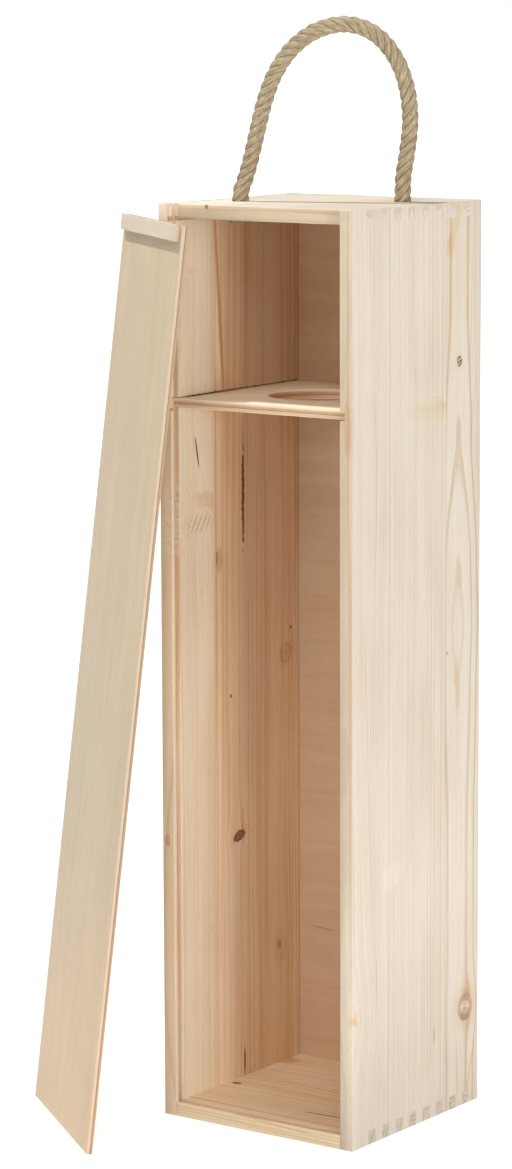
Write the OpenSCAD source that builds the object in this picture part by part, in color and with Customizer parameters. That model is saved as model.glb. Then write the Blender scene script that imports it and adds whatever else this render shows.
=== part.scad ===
// Wooden wine box for one bottle: finger-jointed spruce carcass with a sliding
// lid, a loose neck shelf inside and a rope handle on top. Millimetres.
// Origin: middle of the box's underside. +Z is up, the open front faces -Y,
// and +X is to the right as seen from the front.

/* [Box] */
// Outer width of the box, left to right
box_w = 95; // [90:0.5:110]
// Outer depth of the box, front to back
box_d = 94; // [94:0.5:110]
// Outer height of the box without its handle
box_h = 380; // [350:1:400]
// Thickness of the side, top and bottom panels
wall = 6; // [6:0.5:8]

/* [Glued boards] */
// Width of the left side's front board
left_front_w = 29; // [28:0.5:30]
// Width of the right side's front board
right_front_w = 68; // [67.5:0.5:69.5]
// Distance from the box's front to the glue line in the top panel
top_seam = 49; // [46:0.5:49]
// Distance from the box's front to the glue line in the bottom panel
bottom_seam = 40; // [38:0.5:41]

/* [Finger joints] */
// Number of fingers at each end of the top and bottom panels
finger_count = 8; // [4:1:8]
// Width of one finger
finger_w = 5; // [4:0.5:5]
// Distance from one finger's start to the next finger's start
finger_pitch = 10; // [10:0.5:10.5]
// Distance from the box's front to the first finger of the top panel
top_first = 10; // [9:0.5:10]
// Distance from the box's front to the first finger of the bottom panel
bottom_first = 12; // [11:0.5:12]

/* [Lid channel] */
// Thickness of the lip in front of the lid
lip_t = 2; // [1.5:0.25:2.5]
// Width of the channel, front to back
channel_w = 3; // [2.75:0.25:3.5]
// Depth of the channel in each side panel
channel_depth = 3; // [2:0.5:4]
// Depth of the channel's floor in the bottom panel
channel_floor = 2; // [1:0.5:3]

/* [Back panel] */
// Thickness of the plywood back panel
back_t = 4; // [3:0.5:5]
// Width of the rebate that the back panel lies in
rebate_w = 3; // [2:0.5:4]

/* [Neck shelf] */
// Height of the shelf's underside above the floor
shelf_z = 297; // [250:1:310]
// Thickness of the plywood shelf
shelf_t = 4; // [3:0.5:5]
// Depth of the slots that the shelf runs in
slot_depth = 2.5; // [2:0.25:3]
// Radius of the hole for the bottle's neck
neck_r = 22; // [18:0.5:26]

/* [Lid] */
// Thickness of the plywood lid
lid_t = 2.5; // [2:0.25:2.75]
// Play between the lid and the bottom of its channel, each side
lid_play = 0.3; // [0.1:0.1:0.5]
// Height of the batten across the lid's top
batten_h = 6.5; // [5:0.5:12]
// Thickness of the batten
batten_t = 2.25; // [1.5:0.25:2.5]
// Width of the bevel along the batten's outer edges
batten_bevel = 0.3; // [0.1:0.1:0.6]

/* [Lid's leaning place] */
// Angle of the lid off upright, leaning on the box
lid_lean = 6.6; // [4:0.1:12]
// Turn of the lid's width away from the box's width, clockwise from above
lid_turn = 37.5; // [30:0.5:50]
// Place along the lid's width where the box's corner touches it
lid_touch = 41.8; // [20:0.1:60]
// Gap left between the lid and the corner that it leans on
lid_gap = 0.15; // [0.05:0.05:1]

/* [Rope] */
// Diameter of the rope
rope_dia = 6.6; // [5:0.2:7]
// Diameter of the two rope holes in the top panel
rope_hole_dia = 7.2; // [7:0.1:9]
// Offset of each rope hole from the top's middle, left to right
rope_dx = 29.3; // [24:0.1:32]
// Offset of each rope hole from the top's middle, front to back
rope_dy = 15.5; // [14:0.1:18]
// Depth of the spread rope end that hangs under the top panel
rope_end_h = 2; // [1:0.5:8]
// Diameter of the spread rope end
rope_end_dia = 10; // [9:0.5:12]

/* [Hidden] */

$fn = 64;
eps = 0.5;                      // how far a cutter runs past a face
spruce = [0.90, 0.83, 0.70];
spruce_warm = [0.88, 0.79, 0.64];
plywood = [0.83, 0.73, 0.57];
lid_wood = [0.84, 0.77, 0.64];
rope_tan = [0.67, 0.59, 0.45];

front = -box_d / 2;
back = box_d / 2;
inner_w = box_w - 2 * wall;
channel_front = front + lip_t;
channel_back = channel_front + channel_w;
back_face = back - back_t;      // inner face of the back panel

// Shelf: a little play in the slots, behind the lid channel
shelf_play = 0.2;
shelf_rise = 0.05;              // it sits this far above the slot's lower face
slot_h = shelf_t + 0.3;

// Lid
lid_w = inner_w + 2 * channel_depth - 2 * lid_play;
lid_l = box_h - wall + channel_floor;
batten_w = lid_w - 2 * channel_depth;

// Rope: the holes lie on a diagonal through the middle of the top panel
rope_r = rope_dia / 2;
hinge_h = rope_r + 0.2;         // centre of the loop's rounded ends above the top
top_mid_y = (channel_back + back_face) / 2;
hole_left = [-rope_dx, top_mid_y - rope_dy];
hole_right = [rope_dx, top_mid_y + rope_dy];
arch_turn = atan2(rope_dy, rope_dx);
half_span = sqrt(rope_dx * rope_dx + rope_dy * rope_dy);

// The loop's route in its own upright plane, as [distance from the middle
// of the span, height above the top panel]. The first and last points are
// replaced by the holes' own distance, so the loop always ends over them.
route = [
    [-33, hinge_h], [-31.5, 8.5], [-29.4, 15.5], [-26.6, 27], [-23.5, 39.5],
    [-19.1, 51.3], [-11.8, 61.8], [-1.5, 69.2], [11, 71.5], [22.3, 67],
    [30.5, 57.2], [34.9, 45], [36.1, 32.3], [34.9, 20], [33.5, 11], [33, hinge_h]
];
last = len(route) - 1;
path = [for (i = [0:last])
    i == 0 ? [-half_span, hinge_h] : i == last ? [half_span, hinge_h] : route[i]];
sides = 12;                     // faces round the rope
cap_angles = [30, 60];          // rings of the rounded ends

// ---- carcass ----

// Bars at the places of a panel's fingers, from side to side of the box
module finger_bars(first, z) {
    for (i = [0:finger_count - 1])
        translate([-box_w / 2, front + first + i * finger_pitch, z])
            cube([box_w, finger_w, wall]);
}

// The space that the back panel fills
module back_space(extra) {
    translate([-inner_w / 2 - rebate_w, back_face, wall - rebate_w])
        cube([inner_w + 2 * rebate_w, back_t + extra, box_h - 2 * wall + 2 * rebate_w]);
}

// The whole right side, with its channel, slot, rebate and finger sockets
module side_panel() {
    difference() {
        translate([inner_w / 2, front, 0])
            cube([wall, box_d, box_h]);
        translate([inner_w / 2 - eps, channel_front, wall - channel_floor])
            cube([channel_depth + eps, channel_w, box_h]);
        translate([inner_w / 2 - eps, front - eps, shelf_z])
            cube([slot_depth + eps, box_d - back_t + eps, slot_h]);
        back_space(eps);
        finger_bars(bottom_first, 0);
        finger_bars(top_first, box_h - wall);
    }
}

// The whole top panel, set back behind the lid channel
module top_panel() {
    difference() {
        union() {
            translate([-inner_w / 2, channel_back, box_h - wall])
                cube([inner_w, back - channel_back, wall]);
            finger_bars(top_first, box_h - wall);
        }
        back_space(eps);
        for (h = [hole_left, hole_right])
            translate([h[0], h[1], box_h - wall - eps])
                cylinder(d = rope_hole_dia, h = wall + 2 * eps);
    }
}

// The whole bottom panel, flush with the sides at the front
module bottom_panel() {
    difference() {
        union() {
            translate([-inner_w / 2, front, 0])
                cube([inner_w, box_d, wall]);
            finger_bars(bottom_first, 0);
        }
        translate([-box_w, channel_front, wall - channel_floor])
            cube([2 * box_w, channel_w, wall]);
        back_space(eps);
    }
}

// The part of a panel between two distances from the box's front
module board(from, to) {
    intersection() {
        children();
        translate([-box_w, front + from, -eps])
            cube([2 * box_w, to - from, box_h + 2 * eps]);
    }
}

module left_front_board() {
    color(spruce_warm) board(0, left_front_w) mirror([1, 0, 0]) side_panel();
}

module left_rear_board() {
    color(spruce) board(left_front_w, box_d) mirror([1, 0, 0]) side_panel();
}

module right_front_board() {
    color(spruce) board(0, right_front_w) side_panel();
}

module right_rear_board() {
    color(spruce_warm) board(right_front_w, box_d) side_panel();
}

module top_front_board() {
    color(spruce) board(0, top_seam) top_panel();
}

module top_rear_board() {
    color(spruce_warm) board(top_seam, box_d) top_panel();
}

module bottom_front_board() {
    color(spruce_warm) board(0, bottom_seam) bottom_panel();
}

module bottom_rear_board() {
    color(spruce) board(bottom_seam, box_d) bottom_panel();
}

module back_panel() {
    color(plywood) back_space(0);
}

// ---- neck shelf ----

module neck_shelf() {
    shelf_w = inner_w + 2 * slot_depth - 2 * shelf_play;
    shelf_d = back_face - channel_back - shelf_play;
    color(plywood)
        difference() {
            translate([-shelf_w / 2, channel_back, shelf_z + shelf_rise])
                cube([shelf_w, shelf_d, shelf_t]);
            translate([0, top_mid_y, shelf_z - eps])
                cylinder(r = neck_r, h = shelf_t + 2 * eps);
        }
}

// ---- lid ----

// Puts the lid where it leans. In its own frame the lid stands upright on
// z = 0, its back face is y = 0 and its left edge is x = 0.
module leaning() {
    reach = (lid_gap + lid_l * cos(lid_lean) * sin(lid_lean)) / cos(lid_lean);
    across = [cos(lid_turn), -sin(lid_turn)];
    toward = [sin(lid_turn), cos(lid_turn)];
    foot = [-box_w / 2, front] - reach * toward - lid_touch * across;
    translate([foot[0], foot[1], 0])
        rotate([0, 0, -lid_turn])
            rotate([-lid_lean, 0, 0])
                children();
}

module lid_panel() {
    color(lid_wood)
        leaning()
            translate([0, -lid_t, 0])
                cube([lid_w, lid_t, lid_l]);
}

// A strip glued across the lid's top between the channels, outer edges bevelled
module lid_batten() {
    b = batten_bevel;
    outline = [
        [0, 0], [0, batten_h], [-batten_t + b, batten_h],
        [-batten_t, batten_h - b], [-batten_t, b], [-batten_t + b, 0]
    ];
    color(lid_wood)
        leaning()
            translate([channel_depth, -lid_t, lid_l - batten_h])
                rotate([90, 0, 90])
                    linear_extrude(height = batten_w) polygon(outline);
}

// ---- rope ----

// A point of the loop's plane in the box's frame
function in_plane(p) = [
    p[0] * cos(arch_turn), top_mid_y + p[0] * sin(arch_turn), box_h + p[1]
];
function heading(i) =
    let (a = path[max(i - 1, 0)], b = path[min(i + 1, last)], d = b - a)
    d / norm(d);

// A ring round point c of the plane, square to direction t, moved by s along t
function ring(c, t, s, r) = [
    for (k = [0:sides - 1])
        let (
            a = 360 * k / sides,
            out = [-t[1], t[0]] * r * sin(a),
            p = in_plane(c + t * s + out)
        )
        p + r * cos(a) * [-sin(arch_turn), cos(arch_turn), 0]
];
rings = concat(
    [for (a = [cap_angles[1], cap_angles[0]])
        ring(path[0], heading(0), -rope_r * sin(a), rope_r * cos(a))],
    [for (i = [0:last]) ring(path[i], heading(i), 0, rope_r)],
    [for (a = cap_angles)
        ring(path[last], heading(last), rope_r * sin(a), rope_r * cos(a))]
);
ring_count = len(rings);
poles = [
    in_plane(path[0] - heading(0) * rope_r),
    in_plane(path[last] + heading(last) * rope_r)
];
tube_points = concat([for (r = rings) each r], poles);
function at(i, k) = i * sides + k % sides;
start_pole = ring_count * sides;
end_pole = start_pole + 1;
tube_faces = concat(
    [for (k = [0:sides - 1]) [start_pole, at(0, k), at(0, k + 1)]],
    [for (i = [0:ring_count - 2], k = [0:sides - 1]) each [
        [at(i, k), at(i + 1, k), at(i + 1, k + 1)],
        [at(i, k), at(i + 1, k + 1), at(i, k + 1)]
    ]],
    [for (k = [0:sides - 1]) [end_pole, at(ring_count - 1, k + 1), at(ring_count - 1, k)]]
);

function run(i) = i == 0 ? 0 : run(i - 1) + norm(path[i] - path[i - 1]);
echo(loop_length = run(last), rings = ring_count);

module rope_loop() {
    color(rope_tan)
        polyhedron(points = tube_points, faces = tube_faces);
}

// The rope in its hole, and its end spread and glued under the top panel
module rope_end(hole) {
    r = rope_end_dia / 2;
    under = box_h - wall;
    low = under - rope_end_h;
    soft = min(1.2, rope_end_h * 0.4);
    color(rope_tan)
        translate([hole[0], hole[1], 0])
            rotate_extrude()
                polygon([
                    [0, low], [r - soft, low], [r, low + soft], [r, under - soft],
                    [rope_hole_dia / 2 + 0.4, under], [rope_r, under], [rope_r, box_h], [0, box_h]
                ]);
}

module rope_end_left() { rope_end(hole_left); }
module rope_end_right() { rope_end(hole_right); }

left_front_board();
left_rear_board();
right_front_board();
right_rear_board();
top_front_board();
top_rear_board();
bottom_front_board();
bottom_rear_board();
back_panel();
neck_shelf();
lid_panel();
lid_batten();
rope_loop();
rope_end_left();
rope_end_right();
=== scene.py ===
"""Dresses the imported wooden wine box: boards with real grain, a twisted rope, plywood, light and camera."""

import math

import bpy
import bmesh
from bpy.props import FloatProperty, FloatVectorProperty, IntProperty, PointerProperty
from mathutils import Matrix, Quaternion, Vector


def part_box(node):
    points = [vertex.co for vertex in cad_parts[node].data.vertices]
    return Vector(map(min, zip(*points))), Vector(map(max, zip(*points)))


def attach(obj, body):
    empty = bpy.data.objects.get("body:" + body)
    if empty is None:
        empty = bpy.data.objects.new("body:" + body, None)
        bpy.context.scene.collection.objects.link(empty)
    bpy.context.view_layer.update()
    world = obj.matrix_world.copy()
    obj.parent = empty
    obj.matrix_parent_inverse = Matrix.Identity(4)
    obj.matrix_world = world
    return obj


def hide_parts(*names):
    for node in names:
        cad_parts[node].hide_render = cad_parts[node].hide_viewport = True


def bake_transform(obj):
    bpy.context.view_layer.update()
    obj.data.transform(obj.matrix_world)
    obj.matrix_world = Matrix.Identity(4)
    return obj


bl_info = {
    "name": "Wooden Wine Box",
    "version": (1, 0, 0),
    "blender": (4, 5, 0),
    "location": "View3D > Sidebar > Wine Box",
    "description": "Boards, plywood, rope and studio of a finger-jointed wine box",
    "category": "Object",
}

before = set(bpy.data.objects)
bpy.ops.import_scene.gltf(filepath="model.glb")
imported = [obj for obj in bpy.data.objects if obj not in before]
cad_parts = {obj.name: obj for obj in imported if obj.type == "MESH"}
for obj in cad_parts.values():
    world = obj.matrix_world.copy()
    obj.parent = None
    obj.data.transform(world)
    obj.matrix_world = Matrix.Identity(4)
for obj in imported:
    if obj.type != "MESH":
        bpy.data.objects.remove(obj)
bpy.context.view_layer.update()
MM = 0.001

# The box's faces, lips, channel and glue lines, in millimetres and mostly read from the imported parts.
LOW = [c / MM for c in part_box("bottom_front_board")[0]]
HALF_W, FRONT, TOP = -LOW[0], LOW[1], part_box("left_front_board")[1][2] / MM
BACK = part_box("back_panel")[1][1] / MM
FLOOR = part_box("bottom_front_board")[1][2] / MM
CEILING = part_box("top_front_board")[0][2] / MM
BACK_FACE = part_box("back_panel")[0][1] / MM
INNER = HALF_W - FLOOR
LIP = 2.0
CHANNEL_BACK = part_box("top_front_board")[0][1] / MM
LEFT_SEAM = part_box("left_front_board")[1][1] / MM
RIGHT_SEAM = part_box("right_front_board")[1][1] / MM
TOP_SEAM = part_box("top_front_board")[1][1] / MM
BOTTOM_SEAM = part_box("bottom_front_board")[1][1] / MM
NECK_RADIUS, NECK_Y = 22.0, 0.0      # the shelf's round hole
GAP_SHADE_H = 301.4                  # where the painted shade of the gap above the shelf's slot runs


def srgb(red, green, blue):
    """A colour read off a screen, 0 to 255, as the linear colour with alpha that a socket takes."""
    def linear(c):
        c /= 255
        return c / 12.92 if c <= 0.04045 else ((c + 0.055) / 1.055) ** 2.4
    return (linear(red), linear(green), linear(blue), 1.0)


# ---------------------------------------------------------------- sizes and colours

class WineBoxWood(bpy.types.PropertyGroup):
    """Finish of the boards and panels."""
    arris: FloatProperty(
        name="Arris", description="Radius that sanding leaves along the outer edges",
        default=0.0004, unit="LENGTH")
    early: FloatVectorProperty(
        name="Early Wood", description="Pale wood that each year starts with",
        default=srgb(233, 222, 204)[:3], subtype="COLOR")
    late: FloatVectorProperty(
        name="Late Wood", description="Darker line that each year ends with",
        default=srgb(219, 198, 168)[:3], subtype="COLOR")
    knot: FloatVectorProperty(
        name="Knot", description="Heart of a knot",
        default=srgb(150, 112, 84)[:3], subtype="COLOR")


class WineBoxRope(bpy.types.PropertyGroup):
    """The rope handle."""
    diameter: FloatProperty(
        name="Diameter", description="Thickness over the strands", default=0.0066, unit="LENGTH")
    strands: IntProperty(name="Strands", description="Strands that the rope is laid from", default=4)
    lay: FloatProperty(
        name="Lay", description="Length in which a strand goes once round the rope",
        default=0.0170, unit="LENGTH")
    yarns: IntProperty(name="Yarns", description="Yarns that show round one strand", default=8)
    twist: FloatProperty(
        name="Twist", description="Length in which a yarn goes once round its strand, against the lay",
        default=0.0180, unit="LENGTH")


class WineBoxStudio(bpy.types.PropertyGroup):
    """Camera, lamps and floor."""
    azimuth: FloatProperty(
        name="Azimuth", description="Turn of the camera from the box's front to its right side",
        default=math.radians(35.814), subtype="ANGLE")
    pitch: FloatProperty(
        name="Pitch", description="How far the camera looks down", default=math.radians(8.852),
        subtype="ANGLE")
    roll: FloatProperty(name="Roll", description="Tilt of the picture", default=math.radians(-0.224),
                        subtype="ANGLE")
    place: FloatVectorProperty(
        name="Camera Place", description="Where the camera stands",
        default=(0.90931, -1.30626, 0.47034), subtype="TRANSLATION")
    lens: FloatProperty(name="Lens", description="Focal length in mm on a 36 mm sensor", default=120.15)
    sky: FloatProperty(name="Sky", description="Even light from all round", default=0.30)
    key: FloatProperty(name="Key", description="Power of the lamp above the left", default=450.0,
                       subtype="POWER")
    fill: FloatProperty(name="Fill", description="Power of the soft lamp at the right front", default=29.0,
                        subtype="POWER")
    front: FloatProperty(name="Front", description="Power of the soft lamp high in front", default=90.0,
                         subtype="POWER")


# ---------------------------------------------------------------- materials

class Nodes:
    """A node tree, written as a row of operations on sockets."""

    def __init__(self, owner):
        owner.use_nodes = True
        self.nodes = owner.node_tree.nodes
        self.links = owner.node_tree.links

    def feed(self, socket, value):
        if isinstance(value, bpy.types.NodeSocket):
            self.links.new(value, socket)
        else:
            socket.default_value = value

    def node(self, kind, values=(), **settings):
        made = self.nodes.new("ShaderNode" + kind)
        for key, setting in settings.items():
            setattr(made, key, setting)
        for socket, value in dict(values).items():
            self.feed(made.inputs[socket], value)
        return made

    def math(self, operation, *values):
        return self.node("Math", enumerate(values), operation=operation).outputs[0]

    def add(self, *values):
        total = values[0]
        for value in values[1:]:
            total = self.math("ADD", total, value)
        return total

    def times(self, a, b):
        return self.math("MULTIPLY", a, b)

    def less(self, a, b):
        return self.math("SUBTRACT", a, b)

    def size(self, value):
        """The value without its sign."""
        return self.math("ABSOLUTE", value)

    def swing(self, value, amount):
        """How far the value is from 0.5, times amount."""
        return self.times(self.less(value, 0.5), amount)

    def smooth(self, value, low, high):
        """0 up to low, 1 from high on, and a smooth step between; low may be the larger."""
        return self.node("MapRange", {0: value, 1: low, 2: high},
                         interpolation_type="SMOOTHSTEP").outputs[0]

    def between(self, value, low, high, soft):
        """1 from low to high and 0 outside, with a smooth step of 2 * soft at each end."""
        return self.times(self.smooth(value, low - soft, low + soft),
                          self.smooth(value, high + soft, high - soft))

    def join(self, x, y, z):
        return self.node("CombineXYZ", {0: x, 1: y, 2: z}).outputs[0]

    def length(self, x, y, z=0.0):
        return self.node("VectorMath", {0: self.join(x, y, z)}, operation="LENGTH").outputs[1]

    def millimetres(self):
        """The three object coordinates in millimetres."""
        place = self.node("TexCoord").outputs["Object"]
        scaled = self.node("VectorMath", {0: place, "Scale": 1 / MM}, operation="SCALE").outputs[0]
        return self.node("SeparateXYZ", {0: scaled}).outputs[:3]

    def noise(self, place, sizes, detail=2.0, rough=0.5, output=0):
        """Noise whose cells have the given sizes along the three coordinates of place."""
        scaled = [c if size == 1 else self.times(c, 1 / size) for c, size in zip(place, sizes)]
        return self.node("TexNoise", {"Vector": self.join(*scaled), "Scale": 1.0, "Detail": detail,
                                      "Roughness": rough}).outputs[output]

    def waver(self, place, sizes, amount, detail=1.0):
        """A smooth random value from -amount to amount."""
        return self.swing(self.noise(place, sizes, detail), 2 * amount)

    def chance(self, value):
        """A random number from 0 to 1 that belongs to the value."""
        return self.node("TexWhiteNoise", {"W": value}, noise_dimensions="1D").outputs[0]

    def blend(self, share, a, b, mode="MIX"):
        return self.node("Mix", {0: share, 6: a, 7: b}, data_type="RGBA", blend_type=mode).outputs[2]

    def shade(self, colour, share, factor):
        """Multiplies a colour by another, as far as share says."""
        return self.blend(share, colour, (*factor[:3], 1.0), "MULTIPLY")

    def scale(self, colour, number):
        """Multiplies a colour by one number."""
        return self.blend(1.0, colour, self.join(number, number, number), "MULTIPLY")


class Finish(Nodes):
    """The nodes of one material."""

    def __init__(self, name):
        self.material = bpy.data.materials.new(name)
        super().__init__(self.material)
        self.shader = self.nodes["Principled BSDF"]

    def finish(self, colour, roughness, bump, bump_depth=0.00004, shine=0.35):
        """Gives the shader its colour, roughness and relief, and returns the material."""
        self.feed(self.shader.inputs["Base Color"], colour)
        self.feed(self.shader.inputs["Roughness"], roughness)
        self.feed(self.shader.inputs["Specular IOR Level"], shine)
        bumped = self.node("Bump", {"Height": bump, "Distance": bump_depth, "Strength": 1.0})
        self.feed(self.shader.inputs["Normal"], bumped.outputs[0])
        return self.material


# Factors that marks and tones multiply the wood's colour by.
ORANGE = (0.97, 0.82, 0.62)
HONEY = (1.0, 0.955, 0.80)
TAN = (0.95, 0.86, 0.76)
BROWN = (0.84, 0.70, 0.56)
SMOKE = (0.82, 0.77, 0.72)
DUSK = (0.955, 0.915, 0.88)
PALE = (1.04, 1.05, 1.06)
WARM_CLOUD = (0.975, 0.945, 0.905)
KNOT_HALO = (0.97, 0.90, 0.80)
EYE_HALO = (0.93, 0.85, 0.78)
# Painted shade for the lid's channel.
CHANNEL_SHADE = (0.99, 0.85, 0.71)

# Colours that take the place of the wood's own.
PITCH = srgb(104, 56, 30)
GREY_KNOT = srgb(96, 72, 56)
CREAM = srgb(240, 230, 214)
ASH = srgb(214, 199, 183)
GLUE_LINE = srgb(172, 142, 108)
# Painted shade of the gap above the shelf's slot, and the pale edge beside it.
GAP_SHADE = srgb(112, 58, 28)
GAP_PALE_EDGE = srgb(236, 214, 186)


class Mark:
    """A knot, crack, patch of colour or bend in the grain, at (across, along) the grain, in millimetres. A
    patch is a real mark in the wood, or painted light or shade.

    turn is in degrees. near is (depth, half depth) for a mark that stays close to one face of the board,
    rough is how uneven its edge is, and lean is how far it moves across for each millimetre of depth.
    """

    def __init__(self, kind, across, along, half_across, half_along, turn=0.0, strength=1.0,
                 colour=None, near=None, rough=0.14, lean=0.0):
        self.kind = kind
        self.across, self.along = across, along
        self.half_across, self.half_along = half_across, half_along
        self.turn = math.radians(turn)
        self.strength = strength
        self.colour = colour
        self.near = near
        self.rough = rough
        self.lean = lean


def distance_to(s, mark, place):
    """How far a place (deep, across, along) is from a mark, 1 at the mark's edge."""
    deep, across, along = place
    u = s.less(across, mark.across)
    if mark.lean:
        u = s.less(u, s.times(s.less(deep, mark.near[0]), mark.lean))
    v = s.less(along, mark.along)
    c, t = math.cos(mark.turn), math.sin(mark.turn)
    wide, long = mark.half_across, mark.half_along
    u, v = (s.add(s.times(u, c / wide), s.times(v, t / wide)),
            s.add(s.times(u, -t / long), s.times(v, c / long)))
    w = s.times(s.less(deep, mark.near[0]), 1 / mark.near[1]) if mark.near else 0.0
    if mark.kind == "bar":
        far = s.math("MAXIMUM", s.size(u), s.size(v))
        return s.math("MAXIMUM", far, s.size(w)) if mark.near else far
    return s.length(u, v, w)


def nearness(s, mark, place):
    """1 at the middle of a mark, falling off smoothly round it."""
    far = distance_to(s, mark, place)
    return s.math("EXPONENT", s.times(s.times(far, far), -1.0))


def draw_knot(s, colour, far, mark, mottle):
    """A knot with a mottled heart, a dark rim and a brown halo."""
    heart = mark.colour or (*bpy.context.scene.wine_box_wood.knot, 1.0)
    pale = (*(min(1.0, 1.60 * c) for c in heart[:3]), 1.0)
    dark = (*(0.55 * c for c in heart[:3]), 1.0)
    colour = s.shade(colour, s.times(s.smooth(far, 2.6, 0.9), 0.8 * mark.strength), KNOT_HALO)
    rings = s.math("SINE", s.times(far, 11.0))
    core = s.blend(s.smooth(s.add(rings, s.swing(mottle, 5.0)), -1.2, 1.4), pale, heart)
    colour = s.blend(s.times(s.smooth(far, 1.06, 0.88), mark.strength), colour, core)
    rim = s.times(s.smooth(far, 0.74, 0.94), s.smooth(far, 1.14, 0.98))
    return s.blend(s.times(rim, 0.55 * mark.strength), colour, dark)


def draw_eye(s, colour, far, mark, mottle):
    """A healthy knot that shows only as fine, broken rings."""
    rings = s.smooth(s.math("SINE", s.add(s.times(far, 9.5), s.swing(mottle, 2.4))), -0.1, 0.9)
    colour = s.shade(colour, s.times(s.smooth(far, 1.7, 0.5), 0.8), EYE_HALO)
    share = s.times(rings, s.times(s.smooth(far, 1.12, 0.95), 0.75 * mark.strength))
    share = s.times(share, s.add(0.3, s.times(s.smooth(mottle, 0.40, 0.62), 0.7)))
    return s.blend(share, colour, mark.colour)


def draw_comb(s, colour, far, mark, place, mottle):
    """Slanting strokes side by side, as where a plane tore the grain."""
    _, across, along = place
    wave = s.math("SINE", s.add(s.times(across, 1.9), s.times(along, -1.2), s.times(mottle, 3.0)))
    share = s.times(s.smooth(far, 1.0, 0.3), s.smooth(wave, 0.1, 0.9))
    return s.shade(colour, s.times(share, mark.strength), mark.colour)


def draw_marks(s, colour, height, place, marks):
    """Draws the marks in their order, and returns the colour and the relief's height."""
    edge = s.less(s.noise(place, (1.2, 1.2, 1.8)), 0.5)
    mottle = s.noise(place, (1.6, 1.6, 1.6), 3.0)
    for mark in marks:
        if mark.kind in ("curl", "swirl"):
            continue
        far = s.add(distance_to(s, mark, place), s.times(edge, 2 * mark.rough))
        if mark.kind == "knot":
            colour = draw_knot(s, colour, far, mark, mottle)
        elif mark.kind == "eye":
            colour = draw_eye(s, colour, far, mark, mottle)
        elif mark.kind == "comb":
            colour = draw_comb(s, colour, far, mark, place, mottle)
        elif mark.kind == "crack":
            colour = s.blend(s.times(s.smooth(far, 1.1, 0.7), mark.strength), colour, mark.colour)
            height = s.less(height, s.times(s.smooth(far, 1.0, 0.5), 2.0 * mark.strength))
        else:
            # Patches and bars: real marks in the wood, and painted light and shade.
            colour = s.shade(colour, s.times(s.smooth(far, 1.12, 0.62), mark.strength), mark.colour)
    return colour, height


def round_knots(s, place, marks):
    """The coordinate across the grain, changed so that the grain runs round knots and wanders in curls."""
    _, across, along = place
    spread = across
    for mark in marks:
        if mark.kind in ("knot", "eye", "swirl"):
            wide = Mark("hold", mark.across, mark.along, 1.5 * mark.half_across, 2.6 * mark.half_along)
            spread = s.less(spread, s.times(s.less(spread, mark.across), nearness(s, wide, place)))
        elif mark.kind == "curl":
            curl = s.noise((across, along, 2.0), (14, 9, 1))
            spread = s.add(spread, s.times(nearness(s, mark, place), s.swing(curl, 26.0)))
    return spread


def heart_distance(s, fibres, pith, rises, waviness):
    """How far a place is from the log's heart, which sways and ripples as it grew."""
    sway = s.node("SeparateColor", {0: s.noise(fibres, (34, 34, 130), 1.0, output=1)}).outputs
    radius = s.length(*(s.add(s.less(fibres[i], pith[i]), s.swing(sway[i], 7 * waviness)) for i in (0, 1)))
    for amount, start, finish in rises:
        radius = s.add(radius, s.times(s.smooth(fibres[2], start, finish), amount))
    return s.add(radius, s.waver(fibres, (3, 3, 28), 0.22 * waviness))


def late_lines(s, place, radius, ring, phase, uneven, contrast):
    """How strong the dark line of a year's end is at a place, 0 where there is none."""
    years = s.less(s.times(radius, 1 / ring), phase)
    if uneven:
        years = s.add(years, s.waver((radius, 0.0, 0.0), (8, 1, 1), uneven, 2.0))
    year, part = s.math("FLOOR", years), s.math("FRACT", years)
    start = s.add(0.30, s.times(s.chance(year), 0.5))
    line = s.times(s.smooth(part, start, 0.95), s.smooth(part, 1.0, 0.955))
    luck = s.chance(s.add(year, 0.37))
    strength = s.add(0.22, s.times(s.times(luck, luck), 0.95))
    fading = s.add(0.85, s.waver(place, (8, 8, 60), 0.6))
    return s.times(line, s.times(strength, s.times(fading, contrast)))


def sawn_ends(s, colour, place, square, late, end, end_line):
    """Shows the porous, sawn ends where a face is square to the grain, which runs along axis square."""
    normal = s.node("SeparateXYZ", {0: s.node("TexCoord").outputs["Normal"]}).outputs[square]
    saw = s.noise(place, (0.5, 0.5, 0.5), 3.0, 0.7)
    ends = s.blend(s.math("MINIMUM", s.times(late, 1.5), 1.0), srgb(*end), srgb(*end_line))
    ends = s.scale(ends, s.add(1.0, s.swing(saw, 0.20)))
    return s.blend(s.smooth(s.size(normal), 0.6, 0.9), colour, ends)


def gap_shade_line(s, colour, y, z, inner, high):
    """The painted shade of the gap above the shelf's slot: a dark ragged line, with a pale edge."""
    ragged = s.noise((y, z, 0.0), (2.3, 0.9, 1), 3.0, 0.7)
    line = s.add(s.less(z, high), s.swing(ragged, -2.2))
    dark = s.times(s.times(s.between(line, -0.5, 0.15, 0.12), s.smooth(y, -41.0, -30.0)), inner)
    colour = s.blend(s.times(dark, 0.85), colour, GAP_SHADE)
    pale = s.times(s.between(line, 0.35, 0.9, 0.15), s.times(s.smooth(ragged, 0.5, 0.62), inner))
    return s.blend(s.times(pale, 0.35), colour, GAP_PALE_EDGE)


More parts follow.
